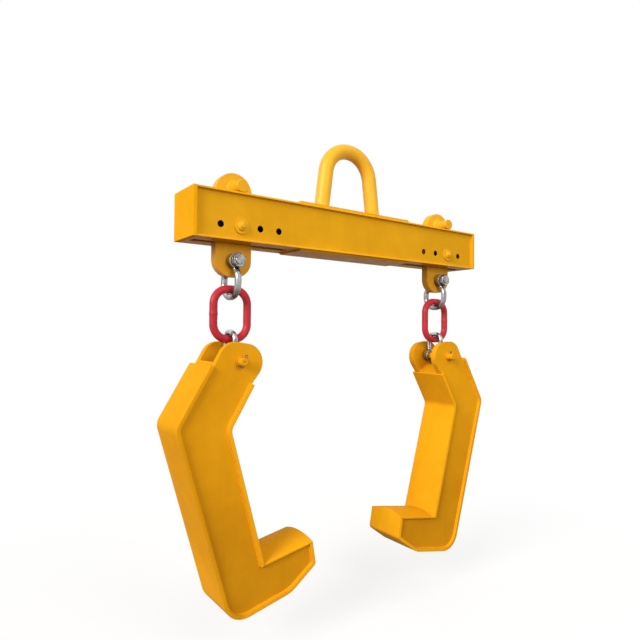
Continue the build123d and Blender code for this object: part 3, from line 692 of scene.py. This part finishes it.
# Bolts, pins, nuts, links and split pins
for side, sign in SIDES:
    forged(f"upper_shackle_bow_{side}")
    forged(f"lower_shackle_bow_{side}")
    x = -HANGER_X * sign
    upper, claw = f"upper_shackle_{side}", f"claw_{side}"

    head_end = -WASHER_FACE - BOLT_HEAD
    bolt_tip = WASHER_FACE + LOCK_NUT + BOLT_POINT
    thread_start, thread_end = WASHER_FACE + THREAD_START, bolt_tip - THREAD_END
    rings = (
        (head_end, 0.009),
        (head_end, BOLT_TIP_RADIUS - 0.002),
        (head_end + 0.002, BOLT_TIP_RADIUS),
        (head_end + 0.009, BOLT_TIP_RADIUS),
        (head_end + 0.010, BOLT_TIP_RADIUS + 0.002),
        (head_end + 0.0115, BOLT_HEAD_RADIUS - 0.007),
        (head_end + 0.014, BOLT_HEAD_RADIUS - 0.003),
        (head_end + 0.018, BOLT_HEAD_RADIUS),
        (-WASHER_FACE, BOLT_HEAD_RADIUS),
        (-WASHER_FACE, LOCK_RADIUS),
        (thread_start, LOCK_RADIUS),
        (thread_end, LOCK_RADIUS),
        (bolt_tip, LOCK_RADIUS - 0.003),
    )
    bolt = turned(rings, x, LOCK_Z, thread=(thread_start, thread_end, BOLT_PITCH, BOLT_THREAD))
    add_piece(f"lock_bolt_{side}_skin", bolt, "beam", "hanger_yellow", TURNED_SHARP, (f"lock_bolt_{side}",))
    nut = hex_nut(x, WASHER_FACE, LOCK_Z, LOCK_NUT_FLATS, LOCK_NUT, LOCK_RADIUS)
    add_piece(f"lock_nut_{side}_skin", nut, "beam", "hanger_yellow", NUT_SHARP, (f"lock_nut_{side}",))

    head_end = EYE_FACE + PIN_HEAD
    pin_tip = -EYE_FACE - PIN_NUT - PIN_POINT
    thread_start, thread_end = -EYE_FACE - THREAD_START, pin_tip + THREAD_END
    rings = (
        (head_end, 0.020),
        (head_end, PIN_HEAD_RADIUS - 0.006),
        (head_end - 0.005, PIN_HEAD_RADIUS),
        (EYE_FACE, PIN_HEAD_RADIUS),
        (EYE_FACE, SHACKLE_PIN_RADIUS),
        (thread_start, SHACKLE_PIN_RADIUS),
        (thread_end, SHACKLE_PIN_RADIUS),
        (pin_tip, SHACKLE_PIN_RADIUS - 0.004),
    )
    pin = turned(rings, x, SHACKLE_PIN_Z, thread=(thread_start, thread_end, PIN_PITCH, PIN_THREAD))
    nut = hex_nut(x, -EYE_FACE, SHACKLE_PIN_Z, PIN_NUT_FLATS, -PIN_NUT, SHACKLE_PIN_RADIUS)
    for node, shape, sharp in ((f"upper_shackle_pin_{side}", pin, TURNED_SHARP),
                               (f"upper_shackle_nut_{side}", nut, NUT_SHARP)):
        add_piece(f"{node}_skin", shape, upper, "galvanised_steel", sharp, (node,))

    left, right = x - LINK_HALF_WIDTH, x + LINK_HALF_WIDTH
    outline = rounded(((left, LINK_TOP), (right, LINK_TOP), (right, LINK_BOTTOM), (left, LINK_BOTTOM)),
                      (LINK_CORNER,) * 4, LINK_STEP, closed=True)
    seam = Vector((x - LINK_HALF_WIDTH * sign, (LINK_TOP + LINK_BOTTOM) / 2))

    def link_radius(i):
        return LINK_BAR + LINK_SEAM * exp(-((outline[i] - seam).length / LINK_SEAM_REACH) ** 2)

    link = swept([Vector((p.x, 0, p.y)) for p in outline], link_radius, LINK_FACETS, closed=True)
    node = f"oblong_link_{side}"
    add_piece(f"{node}_skin", link, f"link_{side}", "red_paint", FORGED_SHARP, (node,))

    rings = (
        (CLAW_PIN_HEAD_END, 0.020),
        (CLAW_PIN_HEAD_END, CLAW_PIN_HEAD - 0.004),
        (CLAW_PIN_HEAD_END - 0.004, CLAW_PIN_HEAD),
        (PLATE_FACE, CLAW_PIN_HEAD),
        (PLATE_FACE, CLAW_PIN_RADIUS),
        (CLAW_PIN_TIP + 0.004, CLAW_PIN_RADIUS),
        (CLAW_PIN_TIP + 0.001, CLAW_PIN_RADIUS - 0.0025),
        (CLAW_PIN_TIP, CLAW_PIN_RADIUS - 0.004),
        (CLAW_PIN_TIP, 0.008),
        (CLAW_PIN_TIP + 0.006, 0.003),
    )
    pin = turned(rings, x, CLAW_PIN_Z)
    add_piece(f"claw_pin_{side}_skin", pin, claw, "claw_yellow", TURNED_SHARP, (f"claw_pin_{side}",))

    wire = [(WIRE + across, along - CLAW_PIN_RADIUS) for across, along in SPLIT_LEGS]
    wire.append((WIRE, CLAW_PIN_RADIUS + SPLIT_NECK))
    middle = CLAW_PIN_RADIUS + SPLIT_EYE_GAP + SPLIT_EYE
    for turn in SPLIT_EYE_TURNS:
        wire.append((SPLIT_EYE * sin(radians(turn)), middle - SPLIT_EYE * cos(radians(turn))))
    wire.append((-WIRE, CLAW_PIN_RADIUS + SPLIT_NECK))
    wire += [(-WIRE - across, along - CLAW_PIN_RADIUS) for across, along in reversed(SPLIT_LEGS)]
    run = []
    for across, along in wire:
        outward = across * cos(SPLIT_PIN_TILT) + along * sin(SPLIT_PIN_TILT)
        height = CLAW_PIN_Z - across * sin(SPLIT_PIN_TILT) + along * cos(SPLIT_PIN_TILT)
        run.append(Vector((x + sign * outward, SPLIT_PIN_Y, height)))
    split_pin = swept(run, lambda i: WIRE, WIRE_FACETS)
    add_piece(f"split_pin_{side}_skin", split_pin, claw, "bare_steel", FORGED_SHARP, (f"split_pin_{side}",))


# Welds
def bead(name, body, slot, path, first, second, leg, closed=False):
    """A rippled fillet weld along the corner of two faces.

    First and second lead away from the corner on each face, point by point. The leg sways along
    the run, and an open run tapers at its ends.
    """
    shape = bmesh.new()
    rings = []
    travelled = 0.0
    count = len(path)
    for i, point in enumerate(path):
        travelled += (point - path[i - 1]).length if i else 0.0
        a, b = first[i], second[i]
        sway = 1 + 0.05 * sin(travelled * 61) + 0.04 * sin(travelled * 143 + 1.3)
        end = min(i, count - 1 - i)
        taper = 1.0 if closed or end > 3 else 0.55 + 0.15 * end
        size = leg * sway * taper
        ring = [shape.verts.new(point - WELD_SUNK * (a + b))]
        for k in range(BEAD_PARTS + 1):
            t = k / BEAD_PARTS
            bow = 3.0 * (2 * t - 1) ** 2 + 2 * sin(travelled * 37)
            ripple = 0.5 + 0.5 * sin(2 * pi * travelled / WELD_PITCH + bow)
            proud = (0.08 * size + WELD_RIPPLE * ripple) * sin(pi * t)
            base = point + a * (size * (1 - t)) + b * (size * t)
            sunk = WELD_SUNK * ((a + b) * -1 if k in (0, BEAD_PARTS) else Vector((0, 0, 0)))
            ring.append(shape.verts.new(base + proud * (a + b).normalized() + sunk))
        rings.append(ring)
    grid_faces(shape, rings, closed)
    add_piece(name, shape, body, slot, WELD_SHARP)


def straight(start, end):
    """Points along a straight run."""
    start, end = Vector(start), Vector(end)
    parts = max(4, round((end - start).length / WELD_STEP))
    return [start.lerp(end, i / parts) for i in range(parts + 1)]


def even(vector, path):
    """The same direction at every point of a path."""
    return [Vector(vector)] * len(path)


# Welds of the beam: webs to flanges, webs to end plates, doublers, bail and cross pins
inside = BEAM_LENGTH / 2 - END_PLATE
for face_name, y in FACES:
    for edge_name, z, away in (("top", BEAM_TOP - FLANGE, -1), ("bottom", BEAM_BOTTOM + FLANGE, 1)):
        run = straight((-inside, y * WEB_FACE, z), (inside, y * WEB_FACE, z))
        bead(f"weld_web_{face_name}_{edge_name}", "beam", "beam_yellow", run, even((0, y, 0), run),
             even((0, 0, away), run), WEB_LEG)
    for side, sign in SIDES:
        end_x = -sign * inside
        run = straight((end_x, y * WEB_FACE, BEAM_BOTTOM + FLANGE), (end_x, y * WEB_FACE, BEAM_TOP - FLANGE))
        bead(f"weld_end_{face_name}_{side}", "beam", "beam_yellow", run, even((0, y, 0), run),
             even((sign, 0, 0), run), WEB_LEG)

for name, z, up in (("top", BEAM_TOP, 1), ("bottom", BEAM_BOTTOM, -1)):
    corners = [(-DOUBLER_LENGTH / 2, -DOUBLER_WIDTH / 2), (DOUBLER_LENGTH / 2, -DOUBLER_WIDTH / 2),
               (DOUBLER_LENGTH / 2, DOUBLER_WIDTH / 2), (-DOUBLER_LENGTH / 2, DOUBLER_WIDTH / 2)]
    path, away = [], []
    for i, corner in enumerate(corners):
        following = corners[(i + 1) % 4]
        heading = (Vector(following) - Vector(corner)).normalized()
        outward = Vector((heading.y, -heading.x, 0))
        before = Vector((-heading.x, -heading.y, 0))
        for k in range(CORNER_PARTS):
            angle = k * pi / (2 * CORNER_PARTS)
            path.append(Vector((*corner, z)))
            away.append((before * cos(angle) + outward * sin(angle)).normalized())
        side_run = straight((*corner, z), (*following, z))[:-1]
        path += side_run
        away += even(outward, side_run)
    bead(f"weld_doubler_{name}", "beam", "beam_yellow", path, away, even((0, 0, up), path),
         DOUBLER_LEG, closed=True)

for side, sign in SIDES:
    path, away, along = [], [], []
    lean = Vector((sign * sin(bail_lean), 0, cos(bail_lean)))
    for k in range(BAIL_WELD_POINTS):
        angle = 2 * pi * k / BAIL_WELD_POINTS
        path.append(Vector((-sign * BAIL_FOOT_X + BAIL_RADIUS / cos(bail_lean) * cos(angle),
                            BAIL_RADIUS * sin(angle), DOUBLER_TOP)))
        away.append(Vector((cos(angle), sin(angle), 0)))
        along.append(lean)
    bead(f"weld_bail_{side}", "beam", "beam_yellow", path, away, along, BAIL_LEG, closed=True)
    for face_name, y in FACES:
        turns = [radians(CROSS_PIN_WELD_START + CROSS_PIN_WELD_TURN * k / CROSS_PIN_WELD_PARTS)
                 for k in range(CROSS_PIN_WELD_PARTS + 1)]
        path = [Vector((-sign * HANGER_X + CROSS_PIN_RADIUS * cos(t), y * HANGER_HALF,
                        CROSS_PIN_Z + CROSS_PIN_RADIUS * sin(t))) for t in turns]
        away = [Vector((cos(t), 0, sin(t))) for t in turns]
        bead(f"weld_cross_pin_{face_name}_{side}", "beam", "hanger_yellow", path, away,
             even((0, y, 0), path), CROSS_PIN_LEG)


# Claws: the bent band round each one's outside, and their welds
def arm_point(offset, distance):
    """A point of the claw's arm: offset to the outer side of its axis, distance down from the pin."""
    return Vector((-offset * sin(ARM_ANGLE) - distance * cos(ARM_ANGLE),
                   offset * cos(ARM_ANGLE) - distance * sin(ARM_ANGLE)))


def arm_crossing(offset, u):
    """The point where the line at this offset from the arm's axis meets the upright line at u."""
    return arm_point(offset, (-u - offset * sin(ARM_ANGLE)) / cos(ARM_ANGLE))


def foot_point(along, below):
    """A point of the foot: along its top from the leg's face toward the nose, and below that top."""
    return Vector((LEG_INNER + along * cos(FOOT_SLOPE) - below * sin(FOOT_SLOPE),
                   -FOOT_DROP - along * sin(FOOT_SLOPE) - below * cos(FOOT_SLOPE)))


def in_claw(point, y, sign):
    """A point of the claw's own drawing, at depth y, in the frame."""
    turned_u = point.x * cos(CLAW_HANG) - point.y * sin(CLAW_HANG)
    turned_v = point.x * sin(CLAW_HANG) + point.y * cos(CLAW_HANG)
    return Vector((sign * (turned_u - HANGER_X), y, CLAW_PIN_Z + turned_v))


def claw_direction(point, sign):
    """A direction of the claw's own drawing in the frame."""
    return in_claw(point, 0, sign) - in_claw(Vector((0, 0)), 0, sign)


def inset(corners, distance):
    """A polyline moved sideways to its left by a distance, corner by corner."""
    points = [Vector(c) for c in corners]
    made = []
    for i, point in enumerate(points):
        headings = []
        if i:
            headings.append((point - points[i - 1]).normalized())
        if i < len(points) - 1:
            headings.append((points[i + 1] - point).normalized())
        normals = [Vector((-h.y, h.x)) for h in headings]
        bisector = sum(normals, Vector((0, 0))).normalized()
        made.append(point + bisector * distance / bisector.dot(normals[0]))
    return made


def left_normals(path):
    """The direction to the left of a flat path at each of its points."""
    made = []
    for i in range(len(path)):
        heading = path[min(i + 1, len(path) - 1)] - path[max(i - 1, 0)]
        made.append(Vector((-heading.y, heading.x)).normalized())
    return made


outer_corners = [arm_point(ARM_OUTER, OUTER_START), arm_crossing(ARM_OUTER, LEG_ELBOW),
                 Vector((LEG_HEEL, -FOOT_DROP - HEEL_DEPTH)),
                 Vector((LEG_INNER + SOLE_BREAK, -FOOT_DROP - SOLE_DEPTH)),
                 foot_point(FOOT_REACH, NOSE_HEIGHT), foot_point(FOOT_REACH, PAD_EDGE)]
outer_bends = (OUTER_ELBOW, HEEL_BEND, SOLE_BEND, NOSE_BEND)
inner_corners = [Vector((LEG_INNER, -FOOT_DROP - PAD_EDGE)), arm_crossing(ARM_INNER, LEG_INNER),
                 arm_point(ARM_INNER, INNER_START)]
lined_corners = inset(outer_corners, CLAW_FLANGE)
lined_bends = [r - CLAW_FLANGE for r in outer_bends]
band = (rounded(outer_corners, outer_bends, BAND_STEP, fill=False)
        + rounded(lined_corners, lined_bends, LINED_STEP, fill=False)[::-1])
outer_run = rounded(lined_corners, lined_bends, WELD_STEP)
inner_run = rounded(inset(inner_corners, CLAW_FLANGE), (INNER_ELBOW + CLAW_FLANGE,), WELD_STEP)
pad_ends = [foot_point(FOOT_REACH - CLAW_FLANGE, PAD_EDGE), foot_point(PAD_WELD_START, PAD_EDGE)]
pad_run = rounded(pad_ends, (), WELD_STEP)
close_ends = [arm_point(ARM_INNER + CLAW_FLANGE, INNER_START),
              arm_point(ARM_OUTER - CLAW_FLANGE, INNER_START)]
close_run = rounded(close_ends, (), WELD_STEP)
for side, sign in SIDES:
    body = f"claw_{side}"
    shape, caps = prism([band], -CLAW_LIP, CLAW_LIP, PLATE_EDGE, lambda p, y: in_claw(p, y, sign))
    # The band's flat sides near the beam's middle get the lips' painted highlight, the rest keep the plain
    # coat
    lit = shape.faces.layers.float["highlit_lip"]
    for face in caps:
        face[lit] = 1.0 if abs(face.calc_center_median().x) < SOLE_FROM else 0.0
    add_piece(f"claw_band_{side}_skin", shape, body, "claw_yellow", PLATE_SHARP,
              (f"claw_outer_flange_{side}", f"claw_sole_plate_{side}"), caps)
    for face_name, y in FACES:
        for run_name, run in (("outer", outer_run), ("inner", inner_run), ("pad", pad_run)):
            path = [in_claw(p, y * PLATE_FACE, sign) for p in run]
            away = [claw_direction(n, sign) for n in left_normals(run)]
            bead(f"weld_claw_{run_name}_{face_name}_{side}", body, "claw_yellow", path,
                 even((0, y, 0), path), away, CLAW_LEG)
        path = [in_claw(p, y * PLATE_INSIDE, sign) for p in close_run]
        up = claw_direction(arm_point(0, -1), sign)
        bead(f"weld_claw_closing_{face_name}_{side}", body, "claw_yellow", path,
             even((0, -y, 0), path), even(up, path), CLAW_LEG)
    head = arm_point(ARM_OUTER - CLAW_FLANGE, OUTER_START)
    path = straight(in_claw(head, -PLATE_INSIDE, sign), in_claw(head, PLATE_INSIDE, sign))
    outward = claw_direction(arm_point(1, 0), sign)
    bead(f"weld_claw_head_{side}", body, "claw_yellow", path,
         even(outward, path), even(up, path), CLAW_HEAD_LEG)
    path, along = [], []
    for k in range(2 * ROOT_WELD_HALF + 1):
        y = CLAW_LIP * (k / ROOT_WELD_HALF - 1)
        rise = sqrt(PAD_CROWN ** 2 - y ** 2) - sqrt(PAD_CROWN ** 2 - CLAW_LIP ** 2)
        path.append(in_claw(Vector((LEG_INNER, -FOOT_DROP + rise / cos(FOOT_SLOPE))), y, sign))
        along.append(claw_direction(Vector((cos(FOOT_SLOPE), -sin(FOOT_SLOPE))), sign))
    up_leg = claw_direction(Vector((0, 1)), sign)
    bead(f"weld_claw_root_{side}", body, "claw_yellow", path, even(up_leg, path), along, CLAW_ROOT_LEG)


# Stage: a pale floor below the hanging claws that fades into a white surround
def seen_by_eye(tree):
    """1 for rays that the camera, a gloss or a glass sends, 0 for the light that bounces."""
    rays = make_node(tree, "ShaderNodeLightPath").outputs
    gloss = maths(tree, "MAXIMUM", rays["Is Glossy Ray"], rays["Is Transmission Ray"])
    return maths(tree, "MAXIMUM", rays["Is Camera Ray"], gloss)


def shader_mix(tree, factor, first, second):
    """Mixes two shaders."""
    return make_node(tree, "ShaderNodeMixShader", {0: factor, 1: first, 2: second}).outputs[0]


FLOOR_RADIUS, FLOOR_Z = 40, -3.32
FADE_FROM, FADE_TO, FADE_SHARE = 1.0, 4.0, 0.65
WHITE, FLOOR_PALE, FLOOR_BOUNCE = (1, 1, 1, 1), (0.88, 0.88, 0.88, 1), (0.12, 0.085, 0.055, 1)
AMBIENT, AMBIENT_STRENGTH = (1.0, 0.985, 0.96, 1), 0.57

floor = bpy.data.objects.new("floor", bpy.data.meshes.new("floor"))
shape = bmesh.new()
bmesh.ops.create_circle(shape, cap_ends=True, segments=64, radius=FLOOR_RADIUS)
shape.to_mesh(floor.data)
shape.free()
floor.location = (0, 0, FLOOR_Z)
bpy.context.scene.collection.objects.link(floor)
floor_paint = bpy.data.materials.new("floor")
floor_paint.use_nodes = True
floor.data.materials.append(floor_paint)
tree = floor_paint.node_tree
tree.nodes.remove(tree.nodes["Principled BSDF"])
place = make_node(tree, "ShaderNodeTexCoord").outputs["Object"]
reach = make_node(tree, "ShaderNodeVectorMath", {0: place}, operation="LENGTH").outputs["Value"]
far = make_node(tree, "ShaderNodeMapRange", {"Value": reach, "From Min": FADE_FROM, "From Max": FADE_TO,
                                             "To Min": FADE_SHARE, "To Max": 1.0}).outputs[0]
pale = make_node(tree, "ShaderNodeBsdfDiffuse", {"Color": FLOOR_PALE}).outputs[0]
white = make_node(tree, "ShaderNodeEmission", {"Color": WHITE, "Strength": 1.0}).outputs[0]
bounce = make_node(tree, "ShaderNodeBsdfDiffuse", {"Color": FLOOR_BOUNCE}).outputs[0]
surface = shader_mix(tree, seen_by_eye(tree), bounce, shader_mix(tree, far, pale, white))
tree.links.new(surface, tree.nodes["Material Output"].inputs["Surface"])

world = bpy.data.worlds.new("studio")
bpy.context.scene.world = world
world.use_nodes = True
tree = world.node_tree
tree.nodes.remove(tree.nodes["Background"])
surround = make_node(tree, "ShaderNodeBackground", {"Color": WHITE, "Strength": 1.0}).outputs[0]
ambient = make_node(tree, "ShaderNodeBackground", {"Color": AMBIENT, "Strength": AMBIENT_STRENGTH}).outputs[0]
surface = shader_mix(tree, seen_by_eye(tree), ambient, surround)
tree.links.new(surface, tree.nodes["World Output"].inputs["Surface"])

MIDDLE = Vector((0, 0, -1.4))


def lamp(name, kind, place, power, shown, **settings):
    """A lamp aimed at the middle of the lifter, which gloss and the camera see only if it is shown."""
    light = bpy.data.lights.new(name, kind)
    light.energy = power
    for key, value in settings.items():
        setattr(light, key, value)
    made = bpy.data.objects.new(name, light)
    made.visible_camera = made.visible_glossy = shown
    made.location = place
    made.rotation_euler = (MIDDLE - made.location).to_track_quat("-Z", "Y").to_euler()
    bpy.context.scene.collection.objects.link(made)


lamp("front", "AREA", (-0.4, -4.6, 0.2), 106, False, shape="RECTANGLE", size=2.4, size_y=2.4)
lamp("back", "AREA", (2.5, 5.5, -1.0), 85, False, shape="RECTANGLE", size=4.0, size_y=2.0)
lamp("key", "SUN", (-8.5, -2.3, 2.7), 3.0, True, angle=radians(28), color=(1.0, 0.955, 0.90))

# Camera, solved from the beam's corners and the hanging claws in the photograph
EYE = Vector((-2.4751, -3.0827, -1.2814))
YAW, PITCH, ROLL = 0.62669, 0.02478, 0.00939
FOCAL_SHARE = 538.946 / 640
forward = Vector((sin(YAW) * cos(PITCH), cos(YAW) * cos(PITCH), sin(PITCH)))
level = Vector((cos(YAW), -sin(YAW), 0))
upward = level.cross(forward)
right = level * cos(ROLL) + upward * sin(ROLL)
above = upward * cos(ROLL) - level * sin(ROLL)
eye_data = bpy.data.cameras.new("camera")
eye_data.sensor_fit, eye_data.sensor_width = "AUTO", 36.0
eye_data.lens = eye_data.sensor_width * FOCAL_SHARE
eye_data.clip_start, eye_data.clip_end = 0.1, 200
camera = bpy.data.objects.new("camera", eye_data)
camera.matrix_world = Matrix((
    (right.x, above.x, -forward.x, EYE.x),
    (right.y, above.y, -forward.y, EYE.y),
    (right.z, above.z, -forward.z, EYE.z),
    (0, 0, 0, 1),
))
bpy.context.scene.collection.objects.link(camera)
bpy.context.scene.camera = camera
bpy.context.scene.view_settings.view_transform = "Standard"
